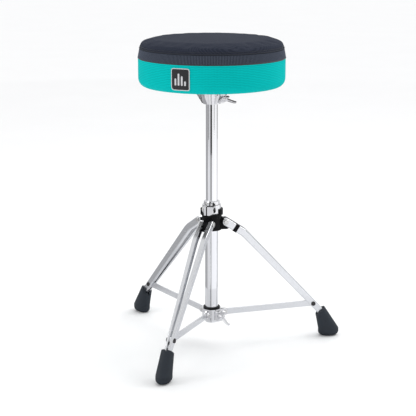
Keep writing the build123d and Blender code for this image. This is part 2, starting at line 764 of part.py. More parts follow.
def legs():
    """The three legs, each of two bars, a foot, rivets and a spacer."""
    left = leg_bar()
    right = mirror(left, about=Plane.XZ)
    foot = rubber_foot()
    stub = rivet_stub()
    stubs = Compound(children=[stub, mirror(stub, about=Plane.XZ)])
    gap_block = spacer()
    for number, azimuth in enumerate(leg_azimuths, start=1):
        write(f"leg_{number}_bar_left", spin(left, azimuth))
        write(f"leg_{number}_bar_right", spin(right, azimuth))
        write(f"leg_{number}_foot", spin(foot, azimuth))
        write(f"leg_{number}_rivets", spin(stubs, azimuth))
        write(f"leg_{number}_spacer", spin(gap_block, azimuth))
    sleeve = mirror(leg_sleeve(), about=Plane.XZ)
    write(f"leg_{sleeve_leg}_band", spin(sleeve, leg_azimuths[sleeve_leg - 1]))


# ---- struts and lower collar ------------------------------------------------------------------
def struts():
    """Flat struts with an eye at each end, from the collar's lugs to the legs' rivets."""
    span = rivet - strut_pivot
    tilt = math.degrees(math.atan2(span.Z, span.X))
    face = SlotCenterToCenter(span.length, 2 * strut_half_depth)
    bar = extrude(face, amount=strut_thickness / 2, both=True)
    bar = fillet(bar.edges().filter_by(lambda e: abs(e.center().Z) > strut_thickness / 2 - 0.1), strut_corner)
    for x, radius in ((-span.length / 2, strut_pin_radius), (span.length / 2, rivet_pin_radius)):
        bar -= Pos(x, 0, 0) * Cylinder(radius + run_clear, 20)
    middle = (rivet + strut_pivot) * 0.5
    bar = Pos(middle.X, 0, middle.Z) * Rot(0, -tilt, 0) * Rot(90, 0, 0) * bar
    for number, azimuth in enumerate(leg_azimuths, start=1):
        write(f"strut_{number}", spin(bar, azimuth))


def collar_lugs():
    """The pair of lugs that holds one strut."""
    lugs = []
    for side in (-1, 1):
        y0, y1 = sorted((side * strut_side, side * (strut_side + lug_thickness)))
        arm = block(base_radius, strut_pivot.X, y0, y1,
                    strut_pivot.Z - lug_end_radius, strut_pivot.Z + lug_end_radius)
        arm += rod_along_y(lug_end_radius, y0, y1, strut_pivot.X, strut_pivot.Z)
        lugs.append(arm)
    return lugs[0] + lugs[1]


def lower_collar():
    """The cast collar that slides on the base tube and carries the struts."""
    bush_radius = base_radius + collar_bush_wall
    lug_side = strut_side + lug_thickness
    body = ring(bush_radius + collar_wall, bush_radius, collar_bottom, collar_top)
    boss = clamp_boss(base_radius, collar_bottom, collar_top - 2.0)
    body += spin(boss, collar_wing_azimuth)
    pair = collar_lugs()
    for azimuth in leg_azimuths:
        body += spin(pair, azimuth)
    body -= Pos(0, 0, collar_middle) * Cylinder(bush_radius, 100)
    body -= spin(screw_hole(base_radius, collar_middle), collar_wing_azimuth)
    body -= spin(nut_pocket(base_radius, collar_bottom, collar_middle), collar_wing_azimuth)
    pin_hole = rod_along_y(strut_pin_radius, -lug_side - 1, lug_side + 1, strut_pivot.X, strut_pivot.Z)
    for azimuth in leg_azimuths:
        body -= spin(pin_hole, azimuth)
    write("lower_collar", body)

    bore = base_radius + run_clear
    bush = ring(bush_radius, bore, collar_bottom, collar_top + collar_bush_lip)
    bush += ring(bush_radius + collar_bush_flange, bore, collar_top, collar_top + collar_bush_lip)
    bush -= spin(screw_hole(base_radius, collar_middle), collar_wing_azimuth)
    write("collar_bush", bush)
    pin = domed_pin(strut_pin_radius, strut_pin_radius + 1.6, strut_head_height, -lug_side, lug_side,
                    strut_pivot)
    write("collar_pins", Compound(children=[spin(pin, azimuth) for azimuth in leg_azimuths]))
    write("collar_clamp_nut", spin(square_nut(base_radius, collar_middle), collar_wing_azimuth))
    bolt = Pos(0, 0, collar_middle) * Rot(collar_wing_turn, 0, 0) * wing_bolt(base_radius)
    write("collar_wing_bolt", spin(bolt, collar_wing_azimuth))


os.makedirs("parts", exist_ok=True)
seat_covers()
seat_core()
seat_fixings()
seat_label()
seat_bracket()
tubes()
height_clamp()
memory_lock()
leg_hub()
hub_pins()
legs()
struts()
lower_collar()
print("hub pivot", hub_pivot, "knee", knee, "rivet", rivet, "strut pivot", strut_pivot)
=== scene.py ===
# %% [markdown]
# # A drum throne, dressed for a product shot
# The stand and the seat's board come from the CAD model and stay exactly where they are.
# Blender adds what CAD leaves plain: the swollen fabric of the seat, its ribs, piping and
# stitches, the underside cloth, and a finish for every metal, nylon and rubber part.

# %% Load the fixed frame and keep its box
import bpy
import bmesh
import math
from mathutils import Matrix, Vector


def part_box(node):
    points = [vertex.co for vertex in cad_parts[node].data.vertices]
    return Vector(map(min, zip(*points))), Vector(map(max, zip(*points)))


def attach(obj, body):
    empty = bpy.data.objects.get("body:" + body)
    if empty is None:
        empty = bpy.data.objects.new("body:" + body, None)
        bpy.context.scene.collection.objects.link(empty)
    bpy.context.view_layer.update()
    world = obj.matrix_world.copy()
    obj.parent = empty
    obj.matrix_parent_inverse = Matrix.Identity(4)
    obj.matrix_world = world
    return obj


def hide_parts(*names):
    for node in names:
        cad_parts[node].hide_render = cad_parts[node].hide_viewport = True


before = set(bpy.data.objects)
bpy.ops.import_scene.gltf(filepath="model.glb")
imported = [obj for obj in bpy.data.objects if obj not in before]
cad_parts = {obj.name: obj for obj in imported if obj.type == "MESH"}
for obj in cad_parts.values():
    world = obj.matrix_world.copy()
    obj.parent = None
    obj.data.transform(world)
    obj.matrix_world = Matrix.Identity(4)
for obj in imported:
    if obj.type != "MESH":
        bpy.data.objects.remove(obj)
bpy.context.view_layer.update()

# %% [markdown]
# ## Small helpers for working by hand, in code
# Operators act on whatever is selected, so each step begins with nothing selected and then
# picks faces or edges by where they are. When a piece is done its place is moved from the
# object into the mesh, which leaves the object at the origin like every CAD part.

# %% Selecting and settling
def deselect():
    """Leaves edit mode and lets go of every object."""
    if bpy.context.mode != "OBJECT":
        bpy.ops.object.mode_set(mode="OBJECT")
    bpy.ops.object.select_all(action="DESELECT")


def choose(piece):
    """Makes one object the selected and active one."""
    deselect()
    piece.select_set(True)
    bpy.context.view_layer.objects.active = piece


def edit(piece):
    """Opens a piece in edit mode with all of it selected."""
    choose(piece)
    bpy.ops.object.mode_set(mode="EDIT")
    bpy.ops.mesh.select_all(action="SELECT")


def settle(piece, name):
    """Back to object mode, with the place, turn and size moved into the mesh."""
    choose(piece)
    bpy.ops.object.transform_apply(location=True, rotation=True, scale=True)
    piece.name = name
    piece.data.name = name
    return piece


def pick_faces(piece, test):
    """In edit mode, selects just the faces whose centre and normal pass the test."""
    bpy.ops.mesh.select_all(action="DESELECT")
    bpy.ops.mesh.select_mode(type="FACE")
    mesh = bmesh.from_edit_mesh(piece.data)
    for face in mesh.faces:
        face.select_set(test(piece.matrix_world @ face.calc_center_median(), face.normal))
    bmesh.update_edit_mesh(piece.data)


# %% [markdown]
# A modifier is a recipe that can still be changed. Each one here is applied at once, so that
# the next step works on the shape it made. What repeats round the seat is modelled once: an
# array turns each copy by the same angle, which it takes from an empty.

# %% Modifiers, copies and shading
def apply_modifier(piece, kind, **settings):
    """Adds a modifier, sets it and applies it."""
    choose(piece)
    bpy.ops.object.modifier_add(type=kind)
    modifier = piece.modifiers[-1]
    for key, value in settings.items():
        setattr(modifier, key, value)
    bpy.ops.object.modifier_apply(modifier=modifier.name)


def copy_of(piece, name):
    """A copy with its own mesh."""
    choose(piece)
    bpy.ops.object.duplicate()
    twin = bpy.context.active_object
    twin.name = name
    twin.data.name = name
    return twin


def ring_of(piece, count):
    """Repeats a piece evenly round the post axis and joins the copies into one mesh."""
    deselect()
    bpy.ops.object.empty_add(location=(0, 0, 0), rotation=(0, 0, 2 * math.pi / count))
    step = bpy.context.active_object
    apply_modifier(piece, "ARRAY", count=count, use_relative_offset=False,
                   use_object_offset=True, offset_object=step)
    bpy.data.objects.remove(step)


def smooth(piece, degrees=35):
    """Shades a piece smooth, and keeps the edges sharper than the angle."""
    choose(piece)
    bpy.ops.object.shade_smooth_by_angle(angle=math.radians(degrees))


def report(piece):
    """Prints a piece's size, so that each cell shows what it made."""
    size = [round(1000 * v, 1) for v in piece.dimensions]
    print(f"{piece.name}: {size} mm, {len(piece.data.polygons)} faces")


# %% [markdown]
# ## Building a finish from nodes
# A finish is a Principled shader with a pattern behind its colour, roughness and bump. All
# patterns read Object coordinates, in metres, so they sit still on the piece when it moves.
# Numbers that are the same everywhere, such as sheen, are typed straight into the shader.

# %% A small kit for shader nodes
class Finish:
    """One material under construction, with short names for the nodes it needs."""

    def __init__(self, name, roughness, metallic=0.0, **fixed):
        self.material = bpy.data.materials.new(name)
        self.material.use_nodes = True
        self.nodes = self.material.node_tree.nodes
        self.links = self.material.node_tree.links
        self.shader = self.nodes["Principled BSDF"]
        self.shader.inputs["Roughness"].default_value = roughness
        self.shader.inputs["Metallic"].default_value = metallic
        for socket, value in fixed.items():
            self.shader.inputs[socket.replace("_", " ")].default_value = value
        self.place = self.nodes.new("ShaderNodeTexCoord").outputs["Object"]

    def feed(self, socket, value):
        """Links an output, or types a number, into a socket."""
        if isinstance(value, bpy.types.NodeSocket):
            self.links.new(value, socket)
        else:
            socket.default_value = value

    def maths(self, operation, first, second=0.0):
        node = self.nodes.new("ShaderNodeMath")
        node.operation = operation
        self.feed(node.inputs[0], first)
        self.feed(node.inputs[1], second)
        return node.outputs[0]

    def axes(self):
        node = self.nodes.new("ShaderNodeSeparateXYZ")
        self.links.new(self.place, node.inputs[0])
        return node.outputs

    def stretch(self, scale):
        """The coordinates, scaled along each axis."""
        node = self.nodes.new("ShaderNodeMapping")
        node.inputs["Scale"].default_value = scale
        self.links.new(self.place, node.inputs["Vector"])
        return node.outputs["Vector"]

    def noise(self, scale, detail=3.0, where=None):
        node = self.nodes.new("ShaderNodeTexNoise")
        node.inputs["Scale"].default_value = scale
        node.inputs["Detail"].default_value = detail
        self.links.new(where or self.place, node.inputs["Vector"])
        return node.outputs["Fac"]

    def cells(self, scale):
        node = self.nodes.new("ShaderNodeTexVoronoi")
        node.inputs["Scale"].default_value = scale
        self.links.new(self.place, node.inputs["Vector"])
        return node.outputs["Distance"]

    def wave(self, amount):
        """A sine of a coordinate that counts repeats, from 0 to 1."""
        turn = self.maths("MULTIPLY", amount, 2 * math.pi)
        return self.maths("ADD", self.maths("MULTIPLY", self.maths("SINE", turn), 0.5), 0.5)

    def spread(self, value, low, high, to_low, to_high):
        node = self.nodes.new("ShaderNodeMapRange")
        node.inputs["From Min"].default_value = low
        node.inputs["From Max"].default_value = high
        node.inputs["To Min"].default_value = to_low
        node.inputs["To Max"].default_value = to_high
        self.links.new(value, node.inputs["Value"])
        return node.outputs["Result"]

    def blend(self, factor, first, second):
        """A colour between two, by a pattern."""
        node = self.nodes.new("ShaderNodeMix")
        node.data_type = "RGBA"
        self.feed(node.inputs["Factor"], factor)
        for socket, value in ((node.inputs[6], first), (node.inputs[7], second)):
            self.feed(socket, (*value, 1.0) if isinstance(value, tuple) else value)
        return node.outputs[2]

    def colour(self, value):
        self.links.new(value, self.shader.inputs["Base Color"])

    def rough(self, value):
        self.links.new(value, self.shader.inputs["Roughness"])

    def bump(self, height, depth, strength=1.0):
        """Raises the surface by a pattern. Depth is in metres."""
        node = self.nodes.new("ShaderNodeBump")
        node.inputs["Strength"].default_value = strength
        node.inputs["Distance"].default_value = depth
        self.links.new(height, node.inputs["Height"])
        self.links.new(node.outputs["Normal"], self.shader.inputs["Normal"])


def dress(piece, finish):
    """Gives a piece one finish in all of its slots."""
    piece.data.materials.clear()
    piece.data.materials.append(finish.material)


# %% [markdown]
# ## Chrome
# Chrome is a thin, hard mirror over polished steel. A mirror has no colour of its own: what
# makes it read as chrome is what it reflects. The plating still isn't perfect, so the shine
# varies a little, and long fine draw lines run along the tubes.

# %% Chrome on the tubes
tube_chrome = Finish("tube_chrome", 0.08, metallic=1.0)
draw_lines = tube_chrome.noise(1.0, 2.0, tube_chrome.stretch((900, 900, 6)))
cloudy = tube_chrome.noise(9.0)
tube_chrome.colour(tube_chrome.blend(cloudy, (0.93, 0.935, 0.95), (0.88, 0.885, 0.91)))
tube_chrome.rough(tube_chrome.spread(draw_lines, 0.3, 0.7, 0.03, 0.07))
tube_chrome.bump(draw_lines, 0.00002, 0.25)
print("tube_chrome:", len(tube_chrome.nodes), "nodes")

# %% [markdown]
# The castings are softer: zinc poured in a die, tumbled and plated, so their faces have a
# faint orange peel that bends the reflections.

# %% Chrome on the castings
cast_chrome = Finish("cast_chrome", 0.14, metallic=1.0)
peel = cast_chrome.noise(320.0, 2.0)
cast_chrome.colour(cast_chrome.blend(cast_chrome.noise(30.0),
                                     (0.88, 0.88, 0.89), (0.76, 0.76, 0.78)))
cast_chrome.rough(cast_chrome.spread(peel, 0.3, 0.7, 0.08, 0.17))
cast_chrome.bump(peel, 0.00012, 0.5)
print("cast_chrome:", len(cast_chrome.nodes), "nodes")

# %% [markdown]
# Pressed steel bars are plated as they leave the press. Their flat webs keep a slight haze
# and shallow waves from the rolling, which break up long reflections.

# %% Chrome on the legs and struts
bar_chrome = Finish("bar_chrome", 0.18, metallic=1.0)
rolling = bar_chrome.noise(26.0, 2.0)
haze = bar_chrome.noise(140.0, 4.0)
bar_chrome.colour(bar_chrome.blend(haze, (0.86, 0.87, 0.89), (0.77, 0.78, 0.80)))
bar_chrome.rough(bar_chrome.spread(haze, 0.3, 0.7, 0.16, 0.28))
bar_chrome.bump(rolling, 0.0006, 0.35)
print("bar_chrome:", len(bar_chrome.nodes), "nodes")

# %% [markdown]
# Nuts, pins and staples are bright zinc: greyer, duller, with a faint crystal mottle. Cells
# from a Voronoi pattern stand for the crystals.

# %% Zinc on the small hardware
zinc = Finish("bright_zinc", 0.28, metallic=1.0)
crystals = zinc.cells(700.0)
zinc.colour(zinc.blend(crystals, (0.62, 0.62, 0.60), (0.80, 0.80, 0.80)))
zinc.rough(zinc.spread(zinc.noise(220.0), 0.3, 0.7, 0.2, 0.38))
zinc.bump(crystals, 0.00005, 0.4)
print("bright_zinc:", len(zinc.nodes), "nodes")

# %% [markdown]
# The rivets and the two key bolts are blackened instead of plated: steel quenched in oil,
# which is nearly black and a little browner where it has been handled.

# %% Blackened steel on rivets and key bolts
black_steel = Finish("blackened_steel", 0.35, metallic=1.0)
handled = black_steel.noise(300.0, 3.0)
black_steel.colour(black_steel.blend(handled, (0.030, 0.030, 0.034), (0.090, 0.085, 0.082)))
black_steel.rough(black_steel.spread(handled, 0.3, 0.7, 0.28, 0.45))
black_steel.bump(handled, 0.00005, 0.4)
print("blackened_steel:", len(black_steel.nodes), "nodes")

# %% [markdown]
# ## Nylon and rubber
# The hub and the bushes are moulded in black nylon. The mould's walls were eroded by sparks,
# which leaves a fine, even grain. From afar a dark colour would do, but the grain is what
# makes the highlights soft, so it drives the roughness and the bump.

# %% Black nylon
nylon = Finish("black_nylon", 0.5, Specular_IOR_Level=0.12)
grain = nylon.noise(1500.0, 2.0)
nylon.colour(nylon.blend(nylon.noise(40.0), (0.002, 0.002, 0.003), (0.006, 0.006, 0.007)))
nylon.rough(nylon.spread(grain, 0.3, 0.7, 0.42, 0.6))
nylon.bump(grain, 0.00008, 0.5)
print("black_nylon:", len(nylon.nodes), "nodes")

# %% [markdown]
# The feet are a softer, bluish black rubber with a dusty bloom in patches a centimetre or two
# wide. One noise makes both the colour and the roughness of the bloom, and a finer one gives
# the rubber its coarse skin.

# %% Foot rubber
rubber = Finish("foot_rubber", 0.65, Specular_IOR_Level=0.35)
skin = rubber.noise(900.0, 3.0)
bloom = rubber.noise(60.0, 4.0)
rubber.colour(rubber.blend(bloom, (0.009, 0.013, 0.019), (0.026, 0.034, 0.046)))
rubber.rough(rubber.spread(bloom, 0.3, 0.7, 0.5, 0.75))
rubber.bump(skin, 0.00025, 0.6)
print("foot_rubber:", len(rubber.nodes), "nodes")

# %% [markdown]
# ## Board and foam
# The board is birch plywood. The grain is a noise stretched along the sheet, and the plies
# are a wave that counts height, which shows as stripes on the rim only.

# %% Plywood
plywood = Finish("birch_plywood", 0.6)
grain = plywood.noise(1.0, 4.0, plywood.stretch((14, 160, 60)))
ply_pitch = 0.0024
plies = plywood.wave(plywood.maths("DIVIDE", plywood.axes()[2], ply_pitch))
plywood.colour(plywood.blend(plywood.maths("MULTIPLY", grain, plies),
                             (0.62, 0.47, 0.30), (0.42, 0.28, 0.15)))
plywood.bump(grain, 0.0002, 0.4)
print("birch_plywood:", len(plywood.nodes), "nodes")

# %% [markdown]
# The foam is cream, and the cells that the saw cut open show as small pits. A Voronoi pattern
# has that look, and it is used for the colour and the bump together.

# %% Foam
foam = Finish("cushion_foam", 0.95)
pores = foam.cells(900.0)
foam.colour(foam.blend(pores, (0.62, 0.57, 0.45), (0.80, 0.76, 0.64)))
foam.bump(pores, 0.0005, 0.7)
print("cushion_foam:", len(foam.nodes), "nodes")

# %% [markdown]
# ## The seat's fabrics
# The top is a slate synthetic woven in small diamonds. Two diagonal waves multiplied give
# the lattice, and following the height as well carries it over the rounded shoulder. A real
# weave wanders, so a slow noise moves the lattice by a few millimetres.

# %% Top fabric
top_fabric = Finish("top_fabric", 0.85, Specular_IOR_Level=0.1)
diamond_pitch, wander, height_share = 0.0046, 0.004, 1.2
x, y, z = top_fabric.axes()
uneven = top_fabric.maths("MULTIPLY", top_fabric.noise(9.0, 2.0), wander)
x = top_fabric.maths("ADD", x, uneven)
y = top_fabric.maths("SUBTRACT", y, uneven)
rise = top_fabric.maths("MULTIPLY", z, height_share)
diagonals = []
for operation in ("ADD", "SUBTRACT"):
    travel = top_fabric.maths("ADD", top_fabric.maths(operation, x, y), rise)
    diagonals.append(top_fabric.wave(top_fabric.maths("DIVIDE", travel, diamond_pitch)))
diamonds = top_fabric.maths("MULTIPLY", diagonals[0], diagonals[1])
yarn = top_fabric.noise(1.0, 2.0, top_fabric.stretch((1400, 500, 500)))
faded = top_fabric.noise(14.0, 3.0)
dark_slate = top_fabric.blend(faded, (0.018, 0.022, 0.036), (0.023, 0.028, 0.043))
light_slate = top_fabric.blend(faded, (0.036, 0.042, 0.064), (0.046, 0.053, 0.077))
top_fabric.colour(top_fabric.blend(top_fabric.maths("MULTIPLY", diamonds, 1.3), dark_slate, light_slate))
top_fabric.bump(top_fabric.maths("ADD", diamonds, top_fabric.maths("MULTIPLY", yarn, 0.35)), 0.0003, 0.6)
print("top_fabric:", len(top_fabric.nodes), "nodes")

# %% [markdown]
# The band is a near-black webbing. Its ribs are modelled, so the finish only needs the fine
# crosswise yarn between them and a little lint.

# %% Band webbing
band_fabric = Finish("band_fabric", 0.8, Specular_IOR_Level=0.15)
pick_pitch = 0.0011
picks = band_fabric.wave(band_fabric.maths("DIVIDE", band_fabric.axes()[2], pick_pitch))
lint = band_fabric.noise(500.0, 3.0)
band_fabric.colour(band_fabric.blend(band_fabric.maths("MULTIPLY", picks, lint),
                                     (0.012, 0.016, 0.025), (0.070, 0.080, 0.106)))
band_fabric.bump(band_fabric.maths("ADD", picks, lint), 0.00018, 0.6)
print("band_fabric:", len(band_fabric.nodes), "nodes")

# %% [markdown]
# The side is a bright teal spacer mesh with fine cords that run round the seat in slight
# waves. Counting along height plus radius keeps the cords even where the fabric turns
# under the board, and counting along the angle gives the eyelets between them.

# %% Side mesh
side_fabric = Finish("side_fabric", 0.9, Specular_IOR_Level=0.04)
cord_pitch, ripples_round, ripple_height, eyelets_round = 0.0034, 68.0, 0.00035, 330
x, y, z = side_fabric.axes()
radius = side_fabric.maths("SQRT", side_fabric.maths("ADD", side_fabric.maths("MULTIPLY", x, x),
                                                     side_fabric.maths("MULTIPLY", y, y)))
angle = side_fabric.maths("ARCTAN2", y, x)
swing = side_fabric.maths("SINE", side_fabric.maths("MULTIPLY", angle, ripples_round))
ripple = side_fabric.maths("MULTIPLY", swing, ripple_height)
travel = side_fabric.maths("ADD", side_fabric.maths("ADD", z, radius), ripple)
cords = side_fabric.wave(side_fabric.maths("DIVIDE", travel, cord_pitch))
eyelets = side_fabric.wave(side_fabric.maths("MULTIPLY", angle, eyelets_round / math.tau))
mesh_height = side_fabric.maths("ADD", cords, side_fabric.maths("MULTIPLY", eyelets, 0.35))
wear = side_fabric.noise(25.0, 4.0)
deep_teal = side_fabric.blend(wear, (0.0005, 0.330, 0.315), (0.001, 0.370, 0.355))
bright_teal = side_fabric.blend(wear, (0.001, 0.520, 0.500), (0.002, 0.570, 0.550))
side_fabric.colour(side_fabric.blend(mesh_height, deep_teal, bright_teal))
side_fabric.bump(mesh_height, 0.0004, 0.55)
print("side_fabric:", len(side_fabric.nodes), "nodes")

# %% [markdown]
# The piping is a dark twill, cut on the bias, so its ridges lean. Counting along the angle
# and the height together makes them lean, and the count is whole round the seat, so that the
# pattern meets itself.

# %% Piping twill
piping_fabric = Finish("piping_fabric", 0.75, Specular_IOR_Level=0.15)
ridges_round, ridge_pitch = 600, 0.0016
x, y, z = piping_fabric.axes()
turns = piping_fabric.maths("MULTIPLY", piping_fabric.maths("ARCTAN2", y, x), ridges_round / math.tau)
twill = piping_fabric.wave(piping_fabric.maths("ADD", turns,
                                               piping_fabric.maths("DIVIDE", z, ridge_pitch)))
piping_fabric.colour(piping_fabric.blend(twill, (0.012, 0.014, 0.021), (0.048, 0.054, 0.070)))
piping_fabric.bump(twill, 0.00025, 0.6)
print("piping_fabric:", len(piping_fabric.nodes), "nodes")

# %% [markdown]
# The band's ribs are slate cords that stand out lighter than the webbing between them. Each
# is twisted, which a short wave along its height shows.

# %% Rib yarn
rib_yarn = Finish("rib_yarn", 0.75, Specular_IOR_Level=0.2)
twist_pitch = 0.0014
twist = rib_yarn.wave(rib_yarn.maths("DIVIDE", rib_yarn.axes()[2], twist_pitch))
rib_yarn.colour(rib_yarn.blend(twist, (0.040, 0.050, 0.075), (0.115, 0.132, 0.175)))
rib_yarn.bump(twist, 0.0002, 0.6)
print("rib_yarn:", len(rib_yarn.nodes), "nodes")

# %% [markdown]
# The stitches are a dark, slightly shiny thread. The same dark finish goes on the ring at the
# seam above the side, where it is painted shade: the shadow line under the band's folded
# lower edge. Its strands are a noise stretched upwards.

# %% Dark thread, also the painted seam shade
stitch_thread_and_seam_shade = Finish("stitch_thread_and_seam_shade", 0.5, Specular_IOR_Level=0.4)
strand = stitch_thread_and_seam_shade.noise(1.0, 1.0, stitch_thread_and_seam_shade.stretch((2500, 2500, 900)))
stitch_thread_and_seam_shade.colour(stitch_thread_and_seam_shade.blend(strand, (0.010, 0.011, 0.014), (0.045, 0.048, 0.058)))
stitch_thread_and_seam_shade.bump(strand, 0.0001, 0.6)
print("stitch_thread_and_seam_shade:", len(stitch_thread_and_seam_shade.nodes), "nodes")

# %% [markdown]
# The patch has a black twill ground. Adding the sideways and the upward count leans its
# ridges, as a twill loom does.

# %% Patch weave
patch_weave = Finish("patch_weave", 0.6, Sheen_Weight=0.2, Specular_IOR_Level=0.35)
patch_pitch = 0.0011
x, _, z = patch_weave.axes()
twill = patch_weave.wave(patch_weave.maths("DIVIDE", patch_weave.maths("ADD", x, z), patch_pitch))
patch_weave.colour(patch_weave.blend(twill, (0.006, 0.006, 0.007), (0.022, 0.022, 0.025)))
patch_weave.bump(twill, 0.00015, 0.6)
print("patch_weave:", len(patch_weave.nodes), "nodes")

# %% [markdown]
# The patch's border and bars are satin stitch: pale threads laid side by side, nearly level,
# with a sheen. They are counted upwards, with a small lean.

# %% Pale thread
pale_thread = Finish("pale_thread", 0.45, Sheen_Weight=0.2, Specular_IOR_Level=0.45)
thread_pitch, thread_lean = 0.0008, 0.4
x, _, z = pale_thread.axes()
leaning = pale_thread.maths("ADD", z, pale_thread.maths("MULTIPLY", x, thread_lean))
satin = pale_thread.wave(pale_thread.maths("DIVIDE", leaning, thread_pitch))
pale_thread.colour(pale_thread.blend(satin, (0.50, 0.50, 0.52), (0.82, 0.82, 0.84)))
pale_thread.bump(satin, 0.0002, 0.7)
print("pale_thread:", len(pale_thread.nodes), "nodes")

# %% [markdown]
# The cloth under the seat isn't woven. Black fibres are pressed together, so a noise with
# much detail, stretched one way, is all it needs.

# %% Underside cloth
felt = Finish("underside_cloth", 0.9, Sheen_Weight=0.3)
fibres = felt.noise(1.0, 5.0, felt.stretch((500, 900, 500)))
felt.colour(felt.blend(fibres, (0.010, 0.010, 0.011), (0.040, 0.040, 0.043)))
felt.bump(fibres, 0.0003, 0.6)
print("underside_cloth:", len(felt.nodes), "nodes")

# %% [markdown]
# ## The metal, nylon and rubber parts
# These shapes are right as they come from CAD, so each only gets its finish, by filling the
# slots of its object. Parts with a name of their own are in the table, and the repeated
# parts of the legs are told by the end of their name. What is left is zinc hardware.

# %% Finishes for the CAD parts
finish_of = {
    "base_tube": tube_chrome, "post_tube": tube_chrome,
    "leg_hub": nylon, "post_bush": nylon, "collar_bush": nylon, "leg_2_band": nylon,
    "height_clamp": cast_chrome, "memory_lock": cast_chrome, "seat_bracket": cast_chrome,
    "lower_collar": cast_chrome, "seat_wing_bolt": cast_chrome, "collar_wing_bolt": cast_chrome,
    "height_clamp_bolt": black_steel, "memory_lock_bolt": black_steel,
    "seat_board": plywood, "foam_pad": foam,
}
for node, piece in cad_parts.items():
    if node.endswith(("_bar_left", "_bar_right")) or node.startswith("strut_"):
        finish = bar_chrome
    elif node.endswith("_foot"):
        finish = rubber
    elif node.endswith("_rivets"):
        finish = black_steel
    elif node.endswith("_spacer"):
        finish = nylon
    else:
        finish = finish_of.get(node, zinc)
    dress(piece, finish)
print(len(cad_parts), "CAD parts have their finish")

# %% [markdown]
# %% [markdown]
# ## The seat cushion
# The real seat is foam on a round board, with three fabrics pulled tight over it. The form
# starts a little small: a disc is extruded upwards ring by ring and resized at each step,
# as on a lathe. A spin would do too, but the rings make it plain which one is which seam.

# %% A turned form, made by extruding a disc
def lathe(name, outline, sides):
    """Extrudes a disc up through a list of (radius, height) rings."""
    radius, height = outline[0]
    deselect()
    bpy.ops.mesh.primitive_circle_add(vertices=sides, radius=radius, fill_type="NGON",
                                      location=(0, 0, height))
    piece = bpy.context.active_object
    edit(piece)
    for (radius, height), (next_radius, next_height) in zip(outline, outline[1:]):
        bpy.ops.mesh.extrude_region_move(TRANSFORM_OT_translate={"value": (0, 0, next_height - height)})
        share = next_radius / radius
        bpy.ops.transform.resize(value=(share, share, 1), center_override=(0, 0, next_height))
    bpy.ops.mesh.select_all(action="SELECT")
    bpy.ops.mesh.normals_make_consistent(inside=False)
    return settle(piece, name)

# %% [markdown]
# The outline goes from the flat underside round a soft lower corner, up the side and the
# band, round the shoulder and over the low crown. The sizes are read from the CAD covers.
# The shoulder is fuller than a quarter circle, so its sine and cosine are raised to a power
# below one.

# %% The cushion's outline
side_low, side_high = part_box("seat_cover_side")
top_low, top_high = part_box("seat_cover_top")
seat_radius, seat_bottom, seam = side_high.x, side_low.z, side_high.z
welt_radius, welt, crown = top_high.x, top_low.z, top_high.z
slack = 0.0016
bottom_gap, crown_drop = 0.0007, 0.0034
corner, shoulder, squareness = 0.018, 0.018, 0.62

outline = [(seat_radius - corner - slack, seat_bottom + bottom_gap)]
for degrees in range(15, 91, 15):
    turn = math.radians(degrees)
    outline.append((seat_radius - corner + (corner - slack) * math.sin(turn),
                    seat_bottom + corner - (corner - bottom_gap) * math.cos(turn)))
outline.append((seat_radius - slack, seam))
outline.append((welt_radius - slack, welt))
for degrees in range(17, 86, 17):
    turn = math.radians(degrees)
    outline.append((welt_radius - shoulder + (shoulder - slack) * math.cos(turn) ** squareness,
                    welt + (shoulder - slack) * math.sin(turn) ** squareness))
rim_radius, rim_height = outline[-1]
top_rise = crown - slack - crown_drop
for share in (0.8, 0.6, 0.4, 0.2):
    outline.append((rim_radius * share, top_rise - (top_rise - rim_height) * share ** 2))
cushion = lathe("cushion_form", outline, 128)
report(cushion)

# %% [markdown]
# ## Blowing it up
# A cloth simulation stands in for foam pushing on fabric. The form is remeshed into even
# faces, then held along the two seams and the flat underside, and pressure swells the rest.
# Gravity is off, and no point may move further than a few millimetres, because the real
# cover is tight.

# %% Cloth with pressure
sewn_reach, flat_reach, inner_radius = 0.0028, 0.003, 0.14
swell_frames = 20


def held(place):
    """True on the seams and on the underside, where the fabric can't move."""
    on_seam = min(abs(place.z - seam), abs(place.z - welt)) < sewn_reach
    on_wall = math.hypot(place.x, place.y) > inner_radius
    return place.z < seat_bottom + flat_reach or (on_seam and on_wall)


def swell(piece, pressure, cap):
    """Swells a closed form like an inflated cover, and applies the result."""
    choose(piece)
    rest = [vertex.co.copy() for vertex in piece.data.vertices]
    sewn = piece.vertex_groups.new(name="sewn")
    sewn.add([i for i, place in enumerate(rest) if held(place)], 1.0, "REPLACE")
    bpy.ops.object.modifier_add(type="CLOTH")
    cloth = piece.modifiers[-1]
    cloth.settings.vertex_group_mass = sewn.name
    cloth.settings.use_pressure = True
    cloth.settings.uniform_pressure_force = pressure
    cloth.settings.effector_weights.gravity = 0
    cloth.point_cache.frame_end = swell_frames
    for number in range(1, swell_frames + 1):
        bpy.context.scene.frame_set(number)
    bpy.ops.object.modifier_apply(modifier=cloth.name)
    bpy.context.scene.frame_set(1)
    furthest = 0.0
    for vertex, start in zip(piece.data.vertices, rest):
        move = vertex.co - start
        furthest = max(furthest, move.length)
        if move.length > cap:
            vertex.co = start + move * (cap / move.length)
    print(f"swelling moved the cloth up to {1000 * furthest:.1f} mm, kept to {1000 * cap:.1f} mm")


# %% [markdown]
# Voxel remesh gives faces of one size all over, which a cloth needs to swell evenly. One
# level of subdivision then rounds off what is left of the small steps.

# %% Swelling the cushion
choose(cushion)
cushion.data.remesh_voxel_size = 0.005
bpy.ops.object.voxel_remesh()
swell(cushion, 1.5, 0.0035)
apply_modifier(cushion, "SUBSURF", levels=1, render_levels=1)
report(cushion)

# %% [markdown]
# ## Three covers from one cushion
# Real covers meet at seams. Copies of the swollen cushion are cut by level planes at the
# seam heights, and each strip gets the thickness of its cloth, inwards. The side cover is
# also opened underneath, where the board's own cloth takes over.

# %% Cutting the covers
cloth_thickness, side_opening = 0.0012, 0.112


